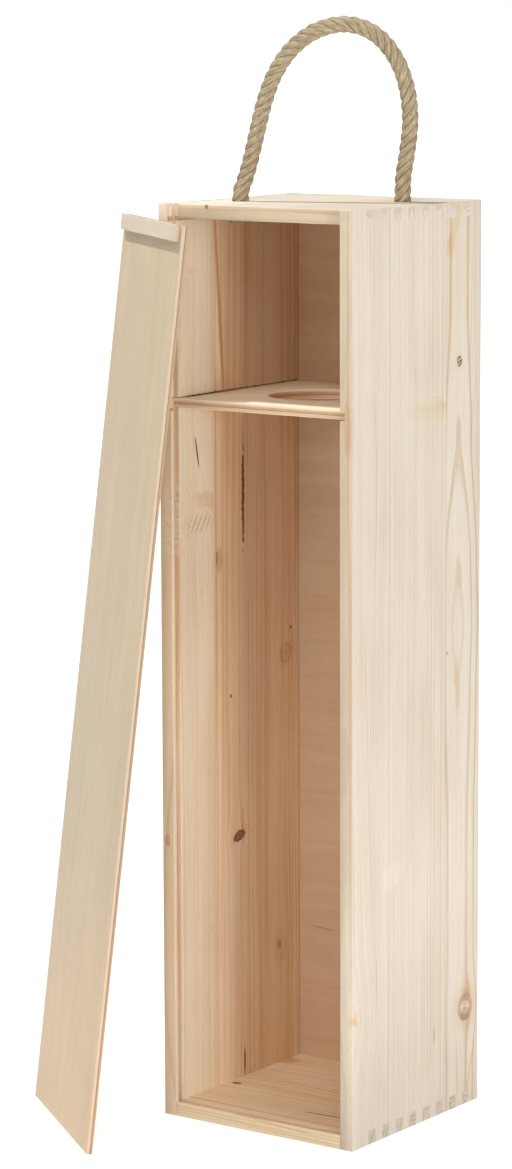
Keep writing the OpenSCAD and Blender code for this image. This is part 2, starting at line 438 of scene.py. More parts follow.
def timber(name, grain, pith, ring=2.6, phase=0.0, rises=(), marks=(), seams=(), joints=(),
           contrast=1.0, waviness=1.0, uneven=1.3, bands=0.3, inside=(1, 1, 1), outside=(1, 1, 1),
           front=(1, 1, 1), end=(222, 208, 190), end_line=(206, 190, 172), gap_shade_at=None, late_wood=None,
           band=(0.90, 0.80, 0.68)):
    """Spruce cut from a log whose heart runs along the grain at pith, in millimetres.

    pith is (depth, across): depth counts along X on an upright board and along Z on a lying one, and
    across is always Y. rises are (amount, from, to): the heart moves away by amount as the place along
    the grain goes from one to the other, which gives the pointed arches of a flat cut. inside, outside
    and front tone the faces that look into the box, away from it and to its front. marks are rows of
    Mark, seams are glue lines, and joints are (place, half width, strength, factor) of darker lines.
    """
    wood = bpy.context.scene.wine_box_wood
    s = Finish(name)
    marks = [Mark(*row) for row in marks]
    x, y, z = s.millimetres()
    place = deep, across, along = (x, y, z) if grain == "Z" else (z, y, x)
    fibres = (deep, round_knots(s, place, marks), along)
    radius = heart_distance(s, fibres, pith, rises, waviness)
    late = late_lines(s, place, radius, ring, phase, uneven, contrast)

    fibre = s.noise(fibres, (0.30, 0.30, 16), 3.0, 0.6)
    streaks = s.noise(fibres, (1.5, 1.5, 70))
    duct = s.noise(fibres, (0.35, 0.35, 5), 0.0)
    cloud = s.noise(place, (22, 22, 60))
    broad = s.noise((radius, along, phase), (4.5, 400, 1))
    colour = s.blend(s.math("MINIMUM", late, 1.0), (*wood.early, 1.0), late_wood or (*wood.late, 1.0))
    colour = s.shade(colour, s.smooth(cloud, 0.38, 0.68), WARM_CLOUD)
    colour = s.shade(colour, s.times(s.smooth(broad, 0.50, 0.66), bands), band)
    light = s.add(1.0, s.swing(fibre, 0.11), s.swing(streaks, 0.16))
    colour = s.scale(colour, s.less(light, s.times(s.smooth(duct, 0.68, 0.80), 0.10)))
    height = s.add(s.times(late, 0.5), s.times(fibre, 0.8))

    outward, half = (x, HALF_W) if grain == "Z" else (s.less(z, TOP / 2), TOP / 2)
    away = s.smooth(s.size(outward), half - 0.5, half - 0.15)
    inner = s.less(1.0, away)
    tone = s.blend(away, (*inside, 1.0), (*outside, 1.0))
    tone = s.blend(s.smooth(y, FRONT + 0.35, FRONT + 0.05), tone, (*front, 1.0))
    colour = s.blend(1.0, colour, tone, "MULTIPLY")
    colour = sawn_ends(s, colour, place, "XYZ".index(grain), late, end, end_line)
    colour, height = draw_marks(s, colour, height, place, marks)

    for seam in seams:
        line = s.smooth(s.size(s.less(across, seam)), 0.26, 0.04)
        colour = s.blend(s.times(line, 0.55), colour, GLUE_LINE)
    for middle, half, share, factor in joints:
        line = s.smooth(s.size(s.less(across, middle)), half, 0.3 * half)
        colour = s.shade(colour, s.times(line, share), factor)
    # Painted shade in the lid's channel: its faces that look into the box darkened towards orange.
    if grain == "Z":
        channel = s.times(s.between(y, FRONT + LIP, CHANNEL_BACK, 0.1),
                          s.smooth(s.size(x), INNER + 0.1, INNER + 0.4))
        colour = s.shade(colour, s.times(channel, inner), CHANNEL_SHADE)
    # Painted shade of the gap above the shelf's slot.
    if gap_shade_at is not None:
        colour = gap_shade_line(s, colour, y, z, inner, gap_shade_at)
    return s.finish(colour, 0.62, height)


def veneer(name, early, late, axes, plies=(), edge=None, marks=(), tones=()):
    """Plywood, or a strip of plain wood.

    axes gives (across, along, deep) as functions of the point in millimetres, with deep from 0 at the
    seen face. plies are (depth, colour) from that face on, shown where edge says. marks are rows of
    Mark, and tones are (where, factor) pairs.
    """
    s = Finish(name)
    point = s.millimetres()
    across, along, deep = axes(s, *point)
    sweep = s.noise((across, along, 0.0), (30, 90, 1))
    flow = s.add(s.times(across, 1 / 5), s.times(sweep, 5.0))
    figure = s.noise((flow, along, 0.0), (1, 160, 1), 3.0, 0.55)
    fibre = s.noise((across, along, deep), (0.35, 12, 0.35), 3.0, 0.6)
    pore = s.noise((across, along, deep), (0.45, 4.0, 0.4), 0.0)
    check = s.noise((across, along, 0.0), (5, 0.9, 1))
    cloud = s.noise((across, along, 0.0), (35, 45, 1))
    colour = s.blend(s.times(s.smooth(figure, 0.36, 0.66), 0.35), early, late)
    light = s.add(1.0, s.swing(fibre, 0.10), s.swing(cloud, 0.12), s.swing(check, 0.05))
    colour = s.scale(colour, s.less(light, s.times(s.smooth(pore, 0.64, 0.78), 0.08)))
    for mark in (Mark(*row) for row in marks):
        far = distance_to(s, mark, (deep, across, along))
        colour = s.shade(colour, s.times(s.smooth(far, 1.1, 0.4), mark.strength), mark.colour)
    if plies:
        layers = plies[0][1]
        wobbly = s.add(deep, s.waver((across, along, 0.0), (9, 9, 1), 0.12))
        for depth, tint in plies[1:]:
            layers = s.blend(s.smooth(wobbly, depth - 0.07, depth + 0.07), layers, tint)
        grit = s.noise(point, (0.5, 0.5, 0.5))
        layers = s.scale(layers, s.add(1.0, s.swing(grit, 0.22)))
        colour = s.blend(edge(s, point, deep), colour, layers)
    for where, factor in tones:
        colour = s.shade(colour, where(s, point, deep), factor)
    return s.finish(colour, 0.6, fibre)


# ---------------------------------------------------------------- modelling

def only(piece):
    """Makes a piece the one that is selected and active."""
    if bpy.context.mode != "OBJECT":
        bpy.ops.object.mode_set(mode="OBJECT")
    bpy.ops.object.select_all(action="DESELECT")
    piece.select_set(True)
    bpy.context.view_layer.objects.active = piece


def copy_of(node, name):
    """A copy of a CAD node with its triangles merged into whole faces, at the same place."""
    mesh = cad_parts[node].data.copy()
    mesh.name = name
    mesh.materials.clear()
    piece = bpy.data.objects.new(name, mesh)
    bpy.context.scene.collection.objects.link(piece)
    only(piece)
    bpy.ops.mesh.customdata_custom_splitnormals_clear()
    bpy.ops.object.mode_set(mode="EDIT")
    bpy.ops.mesh.select_all(action="SELECT")
    bpy.ops.mesh.remove_doubles(threshold=0.000002)
    bpy.ops.mesh.dissolve_limited(angle_limit=math.radians(1.0))
    bpy.ops.object.mode_set(mode="OBJECT")
    return piece


def round_edges(piece, wanted, radius, segments=3):
    """Rounds the edges for which wanted(end, other_end) holds, with the ends in millimetres."""
    only(piece)
    bpy.ops.object.mode_set(mode="EDIT")
    bpy.ops.mesh.select_all(action="DESELECT")
    bpy.context.tool_settings.mesh_select_mode = (False, True, False)
    mesh = bmesh.from_edit_mesh(piece.data)
    for edge in mesh.edges:
        ends = [v.co / MM for v in edge.verts]
        edge.select_set(bool(len(edge.link_faces) == 2 and wanted(*ends)))
    bmesh.update_edit_mesh(piece.data)
    bpy.ops.mesh.bevel(offset=radius, offset_type="OFFSET", segments=segments, profile=0.5, affect="EDGES")
    bpy.ops.object.mode_set(mode="OBJECT")
    bpy.ops.object.shade_smooth_by_angle(angle=math.radians(40))


def on(a, b, axis, value):
    """Whether an edge lies in the plane where a coordinate has the given value, in millimetres."""
    return abs(a[axis] - value) < 0.02 and abs(b[axis] - value) < 0.02


ARRISES = (
    [((0, sx * HALF_W), (1, y)) for sx in (-1, 1) for y in (FRONT, BACK)]
    + [((0, sx * HALF_W), (2, z)) for sx in (-1, 1) for z in (0.0, TOP)]
    + [((1, y), (2, z)) for y in (FRONT, BACK) for z in (0.0, TOP)]
    + [((0, sx * INNER), (1, y)) for sx in (-1, 1) for y in (FRONT, FRONT + LIP, CHANNEL_BACK)]
    + [((1, CHANNEL_BACK), (2, z)) for z in (CEILING, TOP)]
    + [((1, y), (2, FLOOR)) for y in (FRONT, FRONT + LIP, CHANNEL_BACK)]
)


def arris(a, b):
    """Whether an edge lies where two faces of the finished box meet in the open."""
    return any(on(a, b, *first) and on(a, b, *second) for first, second in ARRISES)


def place(piece, material, body, slot, *nodes):
    """Gives a piece its material and its body, and hides the CAD nodes that it stands for; slot is not used.
    """
    piece.data.materials.clear()
    piece.data.materials.append(material)
    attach(piece, body)
    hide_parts(*nodes)


def board(node, name, material):
    """Dresses one solid board of the box."""
    piece = copy_of(node, name)
    round_edges(piece, arris, bpy.context.scene.wine_box_wood.arris)
    place(piece, material, "box", "spruce", node)


LONG = 700                      # a half length that covers a whole board
OUTSIDE = (48, 3)               # near the right side's outer face
INSIDE = (-INNER, 3)            # near the left side's inner face
UPPER_FACE = (TOP, 3)           # near the top board's outer face

# Painted light and shade that falls off along the right side: lighter near the floor, darker higher up.
RIGHT_PAINTED_LIGHT = [("stain", 0, 20, 90, 120, 0, 1, (1.06, 1.06, 1.065), (47.5, 3)),
               ("stain", 0, 300, 90, 160, 0, 1, (0.955, 0.955, 0.955), (47.5, 3))]

# Each row holds what Mark takes, in its order, and the rows are drawn from first to last.

RIGHT_FRONT_MARKS = [
    ("swirl", -46.5, 54, 7.5, 9, 0, 1, None, (47, 14)),
    ("stain", 9, 296.4, 24, 4.6, 0, 0.5, (0.97, 0.93, 0.86), OUTSIDE),
    ("stain", 12.5, 297.6, 15, 1.5, 1, 0.8, HONEY, OUTSIDE),
    ("stain", 15.4, 293.8, 7.5, 1.7, -24, 0.8, HONEY, OUTSIDE),
    ("stain", 17.6, 297.4, 4.5, 3.2, -20, 0.55, TAN, OUTSIDE),
    ("stain", 12.5, 301.5, 7, 0.7, -8, 0.25, SMOKE, OUTSIDE),
    ("stain", 16.5, 288.5, 6, 3, -14, 0.4, (0.99, 0.95, 0.96), OUTSIDE),
    ("stain", -45.8, 54, 4, 4.4, 0, 0.6, (1, 0.90, 0.76), (47.5, 3.5), 0.3),
    ("stain", -45.8, 54, 1.5, 1.6, 0, 0.9, (0.99, 0.82, 0.60), (47.5, 3.5), 0.3),
    ("stain", -47, 310, 2.4, 100, 0, 0.9, (0.94, 0.79, 0.68), (45.5, 0.8)),
    ("stain", -47, 294, 3, 13, 0, 0.8, (0.93, 0.80, 0.70), (45.2, 2), 0.3),
    ("stain", -46.4, 293, 1.7, 12, 0, 0.6, (0.97, 0.88, 0.80), (48, 2.5)),
    ("stain", -47, 180, 2.4, 80, 0, 0.8, (0.97, 0.82, 0.68), (46.6, 0.9)),
    ("stain", -45.8, 108, 0.7, 42, 1.2, 0.8, (0.98, 0.86, 0.72), OUTSIDE),
    # Painted light: the lower part of the lip's front face lighter.
    ("stain", -47, 40, 3, 75, 0, 1, (1.14, 1.17, 1.22), (44.5, 3.6)),
    ("bar", -47, 200, 1.5, LONG, 0, 0.5, (0.93, 0.92, 0.82), (43.4, 1.3)),
    ("stain", -35.3, 150, 0.5, 75, 2.4, 0.7, (0.93, 0.84, 0.76)),
    ("stain", -29.4, 66, 0.45, 13, 1, 0.8, (0.86, 0.78, 0.70)),
    ("crack", -2.2, 312, 0.3, 5, 1, 0.5, srgb(196, 178, 158)),
    ("crack", 10.3, 317, 0.3, 9, 1, 0.6, srgb(196, 170, 150)),
    ("crack", 13.3, 35, 0.4, 3.6, 0, 0.6, srgb(158, 130, 104)),
    ("stain", -18, 109, 11, 5, 14, 0.9, PALE),
] + RIGHT_PAINTED_LIGHT

RIGHT_REAR_MARKS = [
    ("stain", 36.5, 43, 9, 11, 0, 0.7, (0.97, 0.92, 0.83), (48, 9), 0.2),
    ("knot", 36.9, 42.2, 5.2, 5.4, 0, 0.85, srgb(190, 160, 142), (48, 9), 0.15),
    ("stain", 37.6, 47, 2.8, 3.4, 12, 0.8, (0.86, 0.76, 0.69), (48, 5)),
    ("stain", 36.8, 38.9, 4.4, 3, 0, 0.9, (0.76, 0.73, 0.69), (48, 5)),
    ("crack", 36.8, 42.6, 4.7, 0.36, -3, 0.9, srgb(228, 214, 196), (48, 5)),
    ("stain", 40.6, 13, 1.1, 14, -14, 1, (0.95, 0.85, 0.66), (48, 5)),
    ("stain", 31, 15, 0.9, 16, 2.5, 0.9, (0.94, 0.87, 0.76), (48, 5)),
    ("stain", 31.6, 226, 2.6, 6, 0, 0.8, (0.97, 0.91, 0.82), OUTSIDE),
    ("stain", 28.9, 184.5, 2.4, 5, 0, 0.8, (0.97, 0.90, 0.82), OUTSIDE),
    ("knot", 30.7, 315, 1.7, 2.1, 0, 1, srgb(128, 98, 80), None, 0.3),
    ("crack", 30.7, 315.6, 2, 0.28, 24, 0.9, CREAM),
    ("crack", 30.2, 313.9, 1.6, 0.24, 30, 0.9, CREAM),
    ("bar", 27, 370, 2.9, 12, -25.5, 1, (0.98, 0.91, 0.79), (48, 4), 0.05),
    ("bar", 23.9, 361.5, 3.1, 4.5, -25.5, 0.9, (0.99, 0.88, 0.77), (48, 4), 0.1),
    ("stain", 25.2, 370, 3, 8, -20, 0.4, (0.98, 0.92, 0.86), (48, 4)),
    ("stain", 39.4, 335, 0.6, 26, -2, 0.7, ORANGE),
    ("stain", 41.2, 294, 0.6, 16, -8, 0.7, ORANGE),
    ("knot", 22.2, 195, 0.5, 0.7, 0, 0.8, srgb(150, 122, 96)),
] + RIGHT_PAINTED_LIGHT

LEFT_FRONT_MARKS = [
    ("crack", -29.6, 277.5, 0.52, 7.4, 11, 1, srgb(112, 74, 46), INSIDE, 0.1),
    # Painted light and shade at the shelf's slot in the lip: its shaded faces painted as light as the lip,
    # and a painted dark recess beside them.
    ("bar", -46.5, 299, 2.2, 3.2, 0, 1, (1.15, 1.16, 1.16), (-43.4, 1.2), 0),
    ("bar", -46.5, 299, 2.2, 3.2, 0, 1, (0.56, 0.47, 0.38), (-41.8, 0.6), 0),
    # Painted shade: a dark line on the inner face just under the top board.
    ("bar", -30, CEILING, 40, 1.1, 0, 0.9, (0.60, 0.46, 0.36), (-INNER, 1.4), 0.1),
    ("stain", -47, 372, 4, 16, 0, 0.8, (0.98, 1.05, 1.11), (-45, 5)),
    # Painted light: the middle of the lip's front face lighter, where the lid's shadow falls.
    ("stain", -47, 215, 3, 80, 0, 1, (1.12, 1.15, 1.17), (-45, 5)),
    ("curl", -30, 250, 30, 12),
    ("stain", -20.5, 256.5, 12, 4, -12, 0.8, (0.92, 0.81, 0.71), INSIDE, 0.5),
    ("comb", -28, 248, 13, 5.5, 0, 1, (0.80, 0.68, 0.57), INSIDE),
    ("stain", -32, 352, 6, 1.2, 5, 0.4, (0.96, 0.86, 0.78), INSIDE),
    ("crack", -47, 117.4, 0.8, 3, 0, 0.5, srgb(190, 130, 110), (-45, 1.5)),
    # Painted shade on the inner face: darker towards the rear seam, and darker in the upper part.
    ("stain", -18, 60, 12, 200, 0, 1, (0.97, 0.93, 0.89), INSIDE),
    ("stain", -30, 300, 30, 110, 0, 1, (0.92, 0.91, 0.90), INSIDE),
]

LEFT_REAR_MARKS = [
    ("bar", -20, 338, 5.6, 34, 4.3, 1, (1.08, 1.26, 1.42), INSIDE, 0),
    # Painted light: the lower part of the inner face lighter, most towards the front.
    ("stain", -9, 66, 24, 150, 0, 1, (1.12, 1.17, 1.20), INSIDE),
    ("stain", -18, 40, 13, 150, 0, 1, (1.07, 1.17, 1.25), INSIDE),
    ("stain", 28, 60, 26, 140, 0, 1, (1.08, 1.12, 1.13), INSIDE),
    # Painted shade: a dark line on the inner face just under the top board.
    ("bar", 10, CEILING, 60, 1.1, 0, 0.9, (0.60, 0.46, 0.36), (-INNER, 1.4), 0.1),
    ("crack", 2.3, 256, 1, 22.8, 0, 1, srgb(138, 78, 46), INSIDE, 0.9),
    ("stain", -13.6, 335, 1.2, 46, 4.3, 1, (0.80, 0.62, 0.48), INSIDE),
    ("stain", -14.8, 231, 2.7, 6, 0, 0.8, (0.76, 0.69, 0.64), INSIDE),
    ("crack", -16.2, 232, 0.7, 3.2, 0, 0.45, srgb(130, 96, 72), INSIDE),
    ("eye", 33, 185.2, 4.2, 4.6, -38, 0.6, srgb(150, 104, 78), None, 0.3),
    ("knot", 36.6, 195.7, 0.8, 0.8, 0, 0.8, srgb(140, 92, 64)),
    ("knot", -6.9, 172.3, 0.8, 0.6, -40, 0.9, srgb(110, 72, 48), None, 0.3),
    ("knot", -1.3, 111.4, 4.1, 2.2, 14, 1, srgb(124, 96, 76), None, 0.25),
    ("stain", 1, 118, 1, 7, 0, 0.8, BROWN),
    ("stain", 28, 57, 6, 9, 0, 0.8, (0.94, 0.89, 0.85), INSIDE, 0.3),
    ("stain", 27.3, 58.2, 2.1, 2.3, 0, 0.9, (0.74, 0.60, 0.48), INSIDE, 0.4),
    ("crack", 2, 12.5, 0.62, 6.5, 0, 0.95, PITCH, INSIDE, 0.3),
]


def saw_mark(across, high, half_high, lean, strength=0.8, half_across=0.34):
    """A row for a dark stroke on a finger's end at the right."""
    return ("stain", across, HALF_W, half_across, 1.5, 0, strength, (0.72, 0.70, 0.69), (high, half_high),
            0.25, lean)


TOP_FRONT_MARKS = [
    ("knot", CHANNEL_BACK, -26.8, 0.8, 0.75, 0, 0.95, srgb(150, 104, 72), (TOP - 0.9, 0.8)),
    saw_mark(-36.4, 377.9, 2, -1.1), saw_mark(-34.3, 377.4, 2.2, -1.1), saw_mark(-25.4, 375.9, 1.3, -1.9),
    saw_mark(-6.7, 376.9, 2.8, 0), saw_mark(-3.2, 376.7, 2.8, -0.15),
    ("bar", -15.1, HALF_W, 2, 1.5, 0, 0.8, (0.95, 0.95, 0.96), (377.2, 2.6)),
    # Painted light and shade on the top face: lighter at the left, darker at the right.
    ("stain", -20, -48, 60, 30, 0, 1, (1.15, 1.18, 1.21), UPPER_FACE),
    ("stain", -20, 44, 60, 40, 0, 1, (0.92, 0.91, 0.90), UPPER_FACE),
]

TOP_REAR_MARKS = [
    ("stain", 26.9, HALF_W, 3.6, 3, 0, 0.9, (0.93, 0.98, 1.04), (376, 2.4)),
    saw_mark(14.3, 377.7, 1.5, 0.9), saw_mark(17.8, 375, 1.8, 0), saw_mark(9.9, 376, 5, 0),
    saw_mark(35.2, 376.3, 1.5, -1, 0.6), saw_mark(38, 376.2, 1.5, 1, 0.6),
    # Painted shade: the right part of the top face darker.
    ("stain", 20, 44, 60, 40, 0, 1, (0.92, 0.91, 0.90), UPPER_FACE),
]

BOTTOM_FRONT_MARKS = [
    ("knot", -9.6, -37.3, 1.3, 2.2, 0, 0.9, srgb(120, 78, 50)),
    ("crack", -27, 20.5, 0.5, 11, -6, 0.9, PITCH, (FLOOR, 2)),
    ("knot", -47, 43.3, 0.8, 0.8, 0, 0.9, GREY_KNOT, (1.5, 0.8)),
    ("comb", -34, -38, 5, 4, 0, 0.5, PALE),
    ("bar", -47, 0, 1, LONG, 0, 0.7, (0.88, 0.79, 0.70), (4.5, 0.40), 0.3),
    ("bar", -47, 0, 1, LONG, 0, 0.5, (0.90, 0.82, 0.72), (3, 0.34), 0.3),
    ("bar", -47, 0, 1, LONG, 0, 0.6, (0.88, 0.80, 0.70), (1.7, 0.34), 0.3),
    saw_mark(-33, 2.6, 2.6, 0.75, 1, 0.5), saw_mark(-35, 2.6, 2.4, 0.75, 0.7),
    saw_mark(-31.4, 3.2, 2.4, 0.75, 0.6), saw_mark(-24.6, 2.8, 2.2, -0.5), saw_mark(-22.6, 2, 2.2, -0.6),
    saw_mark(-21.4, 3, 2, 0.5, 0.7), saw_mark(-14.6, 3.4, 2, -0.5), saw_mark(-12, 2.4, 2.6, 0.6),
]

BOTTOM_REAR_MARKS = [
    ("comb", 20, -39, 8, 3, 0, 0.7, (1.25, 1.3, 1.35)), saw_mark(-2.6, 4.2, 0.5, 0, 0.9, 2),
    saw_mark(-2.4, 2.5, 0.45, 0, 0.9, 2), saw_mark(-1.9, 0.7, 0.4, 0, 0.7, 1.8),
    saw_mark(5.4, 2.4, 2.6, 0), saw_mark(7.2, 4.8, 0.4, 0, 0.7, 2), saw_mark(17.2, 4.4, 0.4, 0, 0.6, 1.8),
    saw_mark(15.6, 3, 2.2, 0, 0.5), saw_mark(25.6, 2.6, 2.6, 0, 1), saw_mark(27.4, 4.8, 0.5, 0, 0.9, 2),
    saw_mark(26.8, 0.5, 0.5, 0, 0.8, 2), saw_mark(37, 1.6, 1.8, -0.8, 1),
]


class WINEBOX_OT_sides(bpy.types.Operator):
    """Dress the four upright boards"""
    bl_idname = "winebox.sides"
    bl_label = "Side Boards"

    def execute(self, context):
        right = {"seams": [RIGHT_SEAM], "inside": (0.98, 0.87, 0.78), "outside": (0.99, 0.975, 0.985),
                 "band": DUSK}
        board("right_front_board", "right_side_front", timber(
            "spruce_right_front", "Z", pith=(34, 118), ring=1.5, phase=0.1, contrast=1.05,
            front=(0.82, 0.78, 0.73), late_wood=ASH, marks=RIGHT_FRONT_MARKS,
            joints=[(18.0, 0.34, 0.85, SMOKE), (12.5, 0.55, 0.6, TAN), (10.4, 0.36, 0.7, SMOKE),
                    (8.1, 0.3, 0.4, SMOKE), (-20.6, 0.4, 0.5, SMOKE), (-30.2, 0.4, 0.35, TAN),
                    (-40.0, 0.7, 0.35, TAN)], **right))
        board("right_rear_board", "right_side_rear", timber(
            "spruce_right_rear", "Z", pith=(29, 30.2), ring=2.5, phase=0.666, contrast=2.0, waviness=0.02,
            uneven=0.0, bands=0.15, late_wood=srgb(212, 191, 158), marks=RIGHT_REAR_MARKS,
            rises=[(0.54, 206, 181), (0.9, 181, 120), (0.54, 206, 229.5), (2.5, 229.5, 283),
                   (1.2, 283, 340)], **right))
        board("left_front_board", "left_side_front", timber(
            "spruce_left_front", "Z", pith=(-20, -150), ring=1.6, seams=[LEFT_SEAM], bands=0.25, contrast=0.9,
            inside=(1.08, 1.03, 0.96), front=(1.0, 0.88, 0.77), gap_shade_at=GAP_SHADE_H,
            joints=[(-19.4, 1.0, 0.5, TAN)], marks=LEFT_FRONT_MARKS))
        board("left_rear_board", "left_side_rear", timber(
            "spruce_left_rear", "Z", pith=(-10, 130), ring=1.9, phase=0.4, seams=[LEFT_SEAM], bands=0.8,
            contrast=1.2, inside=(1.0, 0.795, 0.65), gap_shade_at=GAP_SHADE_H, marks=LEFT_REAR_MARKS,
            joints=[(-16.8, 0.8, 0.8, BROWN), (-12.4, 0.6, 0.5, BROWN), (5.6, 0.9, 0.5, BROWN),
                    (8.2, 0.5, 0.4, BROWN), (30.0, 0.5, 0.5, BROWN), (35.0, 0.6, 0.6, BROWN),
                    (37.4, 0.6, 0.6, BROWN), (BACK_FACE - 0.4, 0.7, 0.6, (0.66, 0.54, 0.44))]))
        return {"FINISHED"}


class WINEBOX_OT_ends(bpy.types.Operator):
    """Dress the top and bottom boards"""
    bl_idname = "winebox.ends"
    bl_label = "Top and Bottom Boards"

    def execute(self, context):
        top = {"seams": [TOP_SEAM], "end": (226, 212, 196), "end_line": (214, 199, 183)}
        board("top_front_board", "top_front", timber(
            "spruce_top_front", "X", pith=(355, -62), ring=2.2, inside=(0.89, 0.82, 0.72),
            marks=TOP_FRONT_MARKS, **top))
        board("top_rear_board", "top_rear", timber(
            "spruce_top_rear", "X", pith=(357, 44), ring=2.6, inside=(0.95, 0.86, 0.75),
            marks=TOP_REAR_MARKS, **top))
        bottom = {"seams": [BOTTOM_SEAM], "contrast": 2.0, "bands": 0.8, "inside": (1.08, 0.95, 0.82)}
        board("bottom_front_board", "bottom_front", timber(
            "spruce_bottom_front", "X", pith=(24, -85), ring=2.4, front=(1.12, 1.03, 0.89),
            marks=BOTTOM_FRONT_MARKS, **bottom))
        board("bottom_rear_board", "bottom_rear", timber(
            "spruce_bottom_rear", "X", pith=(-20, 32), ring=2.8, marks=BOTTOM_REAR_MARKS, **bottom))
        return {"FINISHED"}


class WINEBOX_OT_back(bpy.types.Operator):
    """Dress the plywood back"""
    bl_idname = "winebox.back"
    bl_label = "Back Panel"

    def execute(self, context):
        piece = copy_of("back_panel", "back_sheet")
        round_edges(piece, lambda a, b: on(a, b, 1, BACK), 0.0002, 2)
        material = veneer(
            "plywood_back", srgb(220, 187, 155), srgb(203, 164, 129),
            lambda s, x, y, z: (z, x, s.less(y, BACK_FACE)),
            plies=[(0.0, srgb(226, 202, 172)), (1.3, srgb(186, 148, 112)), (2.6, srgb(222, 196, 164))],
            edge=lambda s, point, deep: s.between(deep, 0.15, BACK - BACK_FACE - 0.15, 0.06),
            marks=[("stain", 64, -29.5, 0.5, 7.5, 4, 1, (0.80, 0.70, 0.62)),
                   # Painted shade across the middle height of the back, and painted light across its top.
                   ("stain", 215, 0, 110, 90, 0, 1, (0.94, 0.95, 0.945)),
                   ("stain", 352, 0, 50, 90, 0, 1, (1.07, 1.06, 1.07))],
            tones=[(lambda s, point, deep: s.smooth(point[1], BACK - 0.4, BACK - 0.1), (1.0, 1.15, 1.32))])
        place(piece, material, "box", "plywood", "back_panel")
        return {"FINISHED"}


class WINEBOX_OT_shelf(bpy.types.Operator):
    """Dress the shelf that holds the bottle's neck"""
    bl_idname = "winebox.shelf"
    bl_label = "Neck Shelf"

    def execute(self, context):
        piece = copy_of("neck_shelf", "neck_shelf_sheet")
        low, high = [[c / MM for c in corner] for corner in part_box("neck_shelf")]

        def rim(a, b):
            face = on(a, b, 2, low[2]) or on(a, b, 2, high[2])
            return face and not (on(a, b, 0, low[0]) or on(a, b, 0, high[0]))
        round_edges(piece, rim, 0.0005, 3)
        material = veneer(
            "plywood_shelf", srgb(254, 236, 210), srgb(247, 222, 193),
            lambda s, x, y, z: (y, x, s.less(high[2], z)),
            plies=[(0.0, srgb(236, 212, 182)), (1.2, srgb(208, 170, 136)), (2.2, srgb(172, 130, 96)),
                   (2.5, srgb(228, 196, 164))],
            edge=lambda s, point, deep: s.between(deep, 0.45, high[2] - low[2] - 0.3, 0.08),
            # Painted shade: the wall of the neck hole darkened.
            tones=[(lambda s, point, deep: s.times(
                s.smooth(s.length(point[0], s.less(point[1], NECK_Y)), NECK_RADIUS + 0.6, NECK_RADIUS + 0.3),
                s.smooth(deep, 0.3, 0.7)), (0.76, 0.64, 0.53))])
        place(piece, material, "shelf", "plywood", "neck_shelf")
        return {"FINISHED"}


def lid_axes():
    """The lid's own right, up and outward directions, and a corner of its seen face."""
    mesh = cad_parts["lid_panel"].data
    face = max((p for p in mesh.polygons if p.normal.y < -0.3), key=lambda p: p.area)
    out = face.normal.copy()
    right = Vector((-out.y, out.x, 0.0)).normalized()
    up = out.cross(right)
    corner = min((v.co for v in mesh.vertices), key=lambda c: c.dot(up) + c.dot(right) - 3 * c.dot(out))
    return right, up, out, corner


def along_lid(s, x, y, z):
    """(across, along, depth behind the seen face) of a point, in the lid's own directions."""
    right, up, out, corner = lid_axes()
    made = []
    for way, sign in ((right, 1), (up, 1), (out, -1)):
        dot = s.add(s.times(x, sign * way.x), s.times(y, sign * way.y), s.times(z, sign * way.z))
        made.append(s.less(dot, sign * corner.dot(way) / MM))
    return made


def across_lid(s, x, y, z):
    """The same for the batten, whose grain runs across the lid."""
    across, along, deep = along_lid(s, x, y, z)
    return along, across, deep


LID_MIDDLE = 44.2               # half the lid's width
BATTEN_HALF = 41.2              # half the batten's length


class WINEBOX_OT_lid(bpy.types.Operator):
    """Dress the lid and the batten across its top"""
    bl_idname = "winebox.lid"
    bl_label = "Lid"

    def execute(self, context):
        panel = copy_of("lid_panel", "lid_sheet")
        round_edges(panel, lambda a, b: True, 0.0002, 2)
        material = veneer(
            "plywood_lid", srgb(203, 185, 158), srgb(190, 170, 141), along_lid,
            plies=[(0.0, srgb(212, 189, 161)), (1.3, srgb(146, 112, 86)), (1.6, srgb(186, 156, 128))],
            edge=lambda s, point, deep: s.between(deep, 0.18, 2.32, 0.06),
            # Painted shadow of the batten's end on the lid.
            marks=[("bar", 86, 372.6, 0.6, 3.4, 0, 0.9, (0.62, 0.52, 0.44))],
            # Painted light: the lid lighter towards the floor.
            tones=[(lambda s, point, deep: s.smooth(point[2], 150.0, 10.0), (1.16, 1.08, 1.05))])
        place(panel, material, "lid", "lid_plywood", "lid_panel")
        batten = copy_of("lid_batten", "lid_strip")
        material = veneer(
            "wood_batten", srgb(217, 202, 181), srgb(206, 189, 166), across_lid,
            plies=[(0.0, srgb(206, 184, 160))],
            edge=lambda s, point, deep: s.smooth(s.size(s.less(along_lid(s, *point)[0], LID_MIDDLE)),
                                                 BATTEN_HALF - 0.08, BATTEN_HALF - 0.01))
        place(batten, material, "lid", "batten", "lid_batten")
        return {"FINISHED"}


# ---------------------------------------------------------------- rope

HINGE_H = 3.5                   # height over the top at which the route's legs stop rising straight from their holes, on the line that the real loop swings about
ROW_TURN = math.atan2(15.5, 29.3)    # turn of the row of the two holes from the X axis
MIDDLE_Y = 0.5                  # where the middle of the row is

# The rope's middle line as (place along the row, height over the top), in millimetres.
ROUTE = [
    (-33.147, -8.0), (-33.147, -3.0), (-33.147, HINGE_H), (-31.5, 8.5), (-29.4, 15.5), (-26.6, 27),
    (-23.5, 39.5), (-19.1, 51.3), (-11.8, 61.8), (-1.5, 69.0), (11, 71.25), (22.3, 67), (30.5, 57.2),
    (34.9, 45), (36.1, 32.3), (34.9, 20), (33.5, 11), (33.147, HINGE_H), (33.147, -3.0), (33.147, -8.0),
]


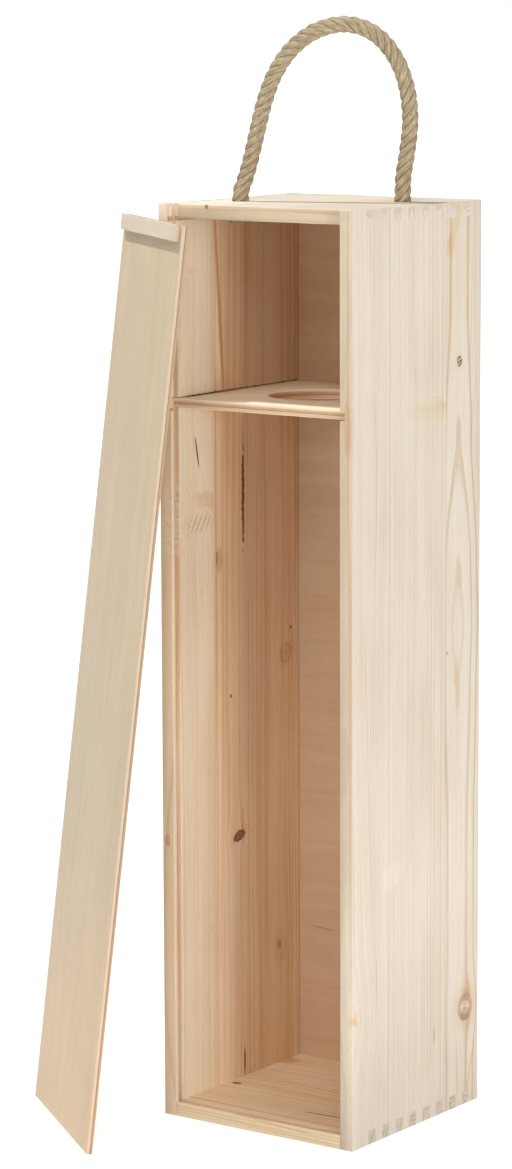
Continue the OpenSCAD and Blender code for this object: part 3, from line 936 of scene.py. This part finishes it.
def rope_points():
    """The route as points in space, in metres."""
    right, back = math.cos(ROW_TURN), math.sin(ROW_TURN)
    return [Vector((s * right, MIDDLE_Y + s * back, TOP + h)) * MM for s, h in ROUTE]


def smooth_line(points, step):
    """Points a step apart along the smooth curve through the given ones."""
    fine = []
    ends = [2 * points[0] - points[1]] + points + [2 * points[-1] - points[-2]]
    for before, a, b, after in zip(ends, ends[1:], ends[2:], ends[3:]):
        for k in range(40):
            t = k / 40
            fine.append(0.5 * (2 * a + (b - before) * t + (2 * before - 5 * a + 4 * b - after) * t ** 2
                               + (3 * a - before - 3 * b + after) * t ** 3))
    fine.append(points[-1])
    line, gone, goal = [fine[0]], 0.0, step
    for a, b in zip(fine, fine[1:]):
        span = (b - a).length
        while span > 0 and gone + span >= goal:
            line.append(a.lerp(b, (goal - gone) / span))
            goal += step
        gone += span
    return line, gone


STEP = 0.0006                   # from one ring of a strand's points to the next
STRAND_SHARE = 0.43             # a strand's radius as a share of the rope's
STANDS_OUT = 0.00012            # how far the strands' middles stand past a round rope's
SPREAD, SPREAD_END = 0.34, 0.006     # how far the ends spread, and over what length
YARN_SWELL = 0.05               # a yarn's swell as a share of a strand's radius
PATTERN_RATE = 10               # pattern units along one metre of strand


def rope_fibre():
    """The twisted natural fibre, with its pattern laid along each strand."""
    s = Finish("rope_fibre")
    uv = s.node("UVMap", uv_map="strand").outputs[0]
    u, v, _ = s.node("SeparateXYZ", {0: uv}).outputs[:3]
    yarn = s.noise((u, v, 0.0), (1 / 15, 1 / 30, 1), 3.0, 0.6)
    long = s.noise((u, v, 3.0), (1 / 4, 1 / 12, 1))
    colour = s.blend(s.smooth(yarn, 0.34, 0.66), srgb(150, 132, 103), srgb(194, 179, 150))
    colour = s.blend(s.times(s.smooth(long, 0.5, 0.75), 0.35), colour, srgb(160, 118, 84))
    return s.finish(colour, 0.8, yarn, 0.0001, 0.2)


def strand_points(rope, line, length, binormal, start, sides):
    """The rings of points round the strand that starts at a share of the rope's turn."""
    radius = rope.diameter / 2
    strand = STRAND_SHARE * radius
    reach = radius - strand + STANDS_OUT
    pitch = math.atan2(2 * math.pi * reach, rope.lay)
    points = []
    for i, centre in enumerate(line):
        tangent = (line[min(i + 1, len(line) - 1)] - line[max(i - 1, 0)]).normalized()
        normal = binormal.cross(tangent)
        gone = i * STEP
        flare = 1 + SPREAD * max(0.0, 1 - min(gone, length - gone) / SPREAD_END)
        angle = 2 * math.pi * (gone / rope.lay + start)
        out = normal * math.cos(angle) + binormal * math.sin(angle)
        side = -normal * math.sin(angle) + binormal * math.cos(angle)
        across = (side * math.cos(pitch) - tangent * math.sin(pitch)).normalized()
        heart = centre + out * reach * flare
        for j in range(sides):
            a = 2 * math.pi * j / sides
            swell = 1 + YARN_SWELL * math.cos(rope.yarns * (a + 2 * math.pi * gone / rope.twist))
            points.append(heart + (out * math.cos(a) + across * math.sin(a)) * strand * flare * swell)
    return points


def strand_faces(rope, rings, sides, first):
    """One strand's faces, closed at both ends, and the place in the pattern of each face's corners."""
    faces, places = [], []
    for i in range(rings - 1):
        low, high = i * STEP * PATTERN_RATE, (i + 1) * STEP * PATTERN_RATE
        for j in range(sides):
            n = (j + 1) % sides
            faces.append([first + i * sides + j, first + i * sides + n,
                          first + (i + 1) * sides + n, first + (i + 1) * sides + j])
            near, far = j / sides + i * STEP / rope.twist, j / sides + (i + 1) * STEP / rope.twist
            places.append([(near, low), (near + 1 / sides, low), (far + 1 / sides, high), (far, high)])
    last = first + (rings - 1) * sides
    faces += [[first + j for j in reversed(range(sides))], [last + j for j in range(sides)]]
    places += [[(0, 0)] * sides] * 2
    return faces, places


class WINEBOX_OT_rope(bpy.types.Operator):
    """Lay the rope handle from its strands"""
    bl_idname = "winebox.rope"
    bl_label = "Rope"

    def execute(self, context):
        rope = context.scene.wine_box_rope
        sides = 4 * rope.yarns
        route = rope_points()
        line, length = smooth_line(route, STEP)
        binormal = Vector((-math.sin(ROW_TURN), math.cos(ROW_TURN), 0.0))
        verts, faces, places = [], [], []
        for k in range(rope.strands):
            made = strand_faces(rope, len(line), sides, len(verts))
            faces += made[0]
            places += made[1]
            verts += strand_points(rope, line, length, binormal, k / rope.strands, sides)
        mesh = bpy.data.meshes.new("rope_handle")
        mesh.from_pydata(verts, [], faces)
        layer = mesh.uv_layers.new(name="strand")
        for face, corners in zip(mesh.polygons, places):
            for loop, corner in zip(face.loop_indices, corners):
                layer.data[loop].uv = corner
        piece = bpy.data.objects.new("rope_handle", mesh)
        context.scene.collection.objects.link(piece)
        only(piece)
        bpy.ops.object.mode_set(mode="EDIT")
        bpy.ops.mesh.select_all(action="SELECT")
        bpy.ops.mesh.normals_make_consistent(inside=False)
        bpy.ops.object.mode_set(mode="OBJECT")
        bpy.ops.object.shade_smooth()
        piece.data.materials.append(rope_fibre())
        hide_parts("rope_loop", "rope_end_left", "rope_end_right")
        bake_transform(piece)
        return {"FINISHED"}


# ---------------------------------------------------------------- studio

def lamp(name, towards, distance, size, power, target):
    """A square lamp at a distance from the target, in the direction towards, that shines on it."""
    data = bpy.data.lights.new(name, "AREA")
    data.size = size
    data.energy = power
    made = bpy.data.objects.new(name, data)
    bpy.context.scene.collection.objects.link(made)
    way = Vector(towards).normalized()
    made.location = target + way * distance
    made.rotation_euler = (-way).to_track_quat("-Z", "Y").to_euler()
    made.visible_camera = False


def seen_directly(s):
    """1 for a ray from the camera, a mirror or glass, and 0 for one that carries light."""
    path = s.node("LightPath").outputs
    seen = s.math("MAXIMUM", path["Is Camera Ray"], path["Is Glossy Ray"])
    return s.math("MAXIMUM", seen, path["Is Transmission Ray"])


class WINEBOX_OT_studio(bpy.types.Operator):
    """Set up the floor, the lamps and the camera"""
    bl_idname = "winebox.studio"
    bl_label = "Studio"

    def execute(self, context):
        studio = context.scene.wine_box_studio
        scene = context.scene
        scene.view_settings.view_transform = "Standard"
        camera = bpy.data.objects.new("camera", bpy.data.cameras.new("camera"))
        scene.collection.objects.link(camera)
        camera.data.lens = studio.lens
        camera.data.sensor_width = 36.0
        camera.data.clip_start, camera.data.clip_end = 0.05, 200.0
        away, down = studio.azimuth, studio.pitch
        look = Vector((-math.sin(away) * math.cos(down), math.cos(away) * math.cos(down), -math.sin(down)))
        turn = look.to_track_quat("-Z", "Y") @ Quaternion((0, 0, 1), studio.roll)
        camera.location = studio.place
        camera.rotation_mode = "QUATERNION"
        camera.rotation_quaternion = turn
        scene.camera = camera

        world = bpy.data.worlds.new("studio")
        scene.world = world
        s = Nodes(world)
        path = s.node("LightPath").outputs
        direct = s.math("MAXIMUM", path["Is Camera Ray"], path["Is Transmission Ray"])
        sky = s.nodes["Background"].inputs
        s.feed(sky["Strength"], s.node("MapRange", {0: direct, 3: studio.sky, 4: 1.0}).outputs[0])
        s.feed(sky["Color"], (1.0, 1.0, 1.0, 1.0))

        bpy.ops.object.select_all(action="DESELECT")
        bpy.ops.mesh.primitive_grid_add(x_subdivisions=8, y_subdivisions=8, size=60.0,
                                        location=(0, 0, -0.0001))
        floor = context.active_object
        floor.name = "studio_floor"
        s = Finish("studio_floor")
        s.nodes.remove(s.shader)
        matt = s.node("BsdfDiffuse", {"Color": (0.97, 0.97, 0.97, 1.0)})
        glow = s.node("Emission", {"Color": (1.0, 1.0, 1.0, 1.0), "Strength": 1.3})
        x, y, _ = s.millimetres()
        share = s.add(0.68, s.times(s.smooth(s.length(x, y), 700.0, 2500.0), 0.32))
        both = s.node("MixShader", {0: s.times(seen_directly(s), share),
                                    1: matt.outputs[0], 2: glow.outputs[0]})
        s.feed(s.nodes["Material Output"].inputs["Surface"], both.outputs[0])
        floor.data.materials.append(s.material)

        target = Vector((0, 0, 0.2))
        lamp("key_lamp", (-0.40, -0.07, 0.914), 8.0, 0.27, studio.key, target)
        lamp("fill_lamp", (0.90, -0.42, 0.06), 3.0, 0.8, studio.fill, target)
        lamp("front_lamp", (0.28, -0.68, 0.68), 5.0, 2.8, studio.front, target)
        return {"FINISHED"}


class WINEBOX_PT_panel(bpy.types.Panel):
    """Lists the pieces and the studio"""
    bl_idname = "WINEBOX_PT_panel"
    bl_label = "Wine Box"
    bl_space_type = "VIEW_3D"
    bl_region_type = "UI"
    bl_category = "Wine Box"

    def draw(self, context):
        scene = context.scene
        for group in (scene.wine_box_wood, scene.wine_box_rope, scene.wine_box_studio):
            box = self.layout.box()
            for name in group.__annotations__:
                box.prop(group, name)
        for operator in OPERATORS:
            self.layout.operator(operator.bl_idname)


GROUPS = (WineBoxWood, WineBoxRope, WineBoxStudio)
OPERATORS = (WINEBOX_OT_studio, WINEBOX_OT_rope, WINEBOX_OT_sides, WINEBOX_OT_ends, WINEBOX_OT_back,
             WINEBOX_OT_shelf, WINEBOX_OT_lid)


def register():
    for made in GROUPS + OPERATORS + (WINEBOX_PT_panel,):
        bpy.utils.register_class(made)
    bpy.types.Scene.wine_box_wood = PointerProperty(type=WineBoxWood)
    bpy.types.Scene.wine_box_rope = PointerProperty(type=WineBoxRope)
    bpy.types.Scene.wine_box_studio = PointerProperty(type=WineBoxStudio)


def unregister():
    del bpy.types.Scene.wine_box_wood
    del bpy.types.Scene.wine_box_rope
    del bpy.types.Scene.wine_box_studio
    for made in reversed(GROUPS + OPERATORS + (WINEBOX_PT_panel,)):
        bpy.utils.unregister_class(made)


def main():
    register()
    bpy.ops.winebox.studio()
    bpy.ops.winebox.rope()
    bpy.ops.winebox.sides()
    bpy.ops.winebox.ends()
    bpy.ops.winebox.back()
    bpy.ops.winebox.shelf()
    bpy.ops.winebox.lid()


if __name__ == "__main__":
    main()
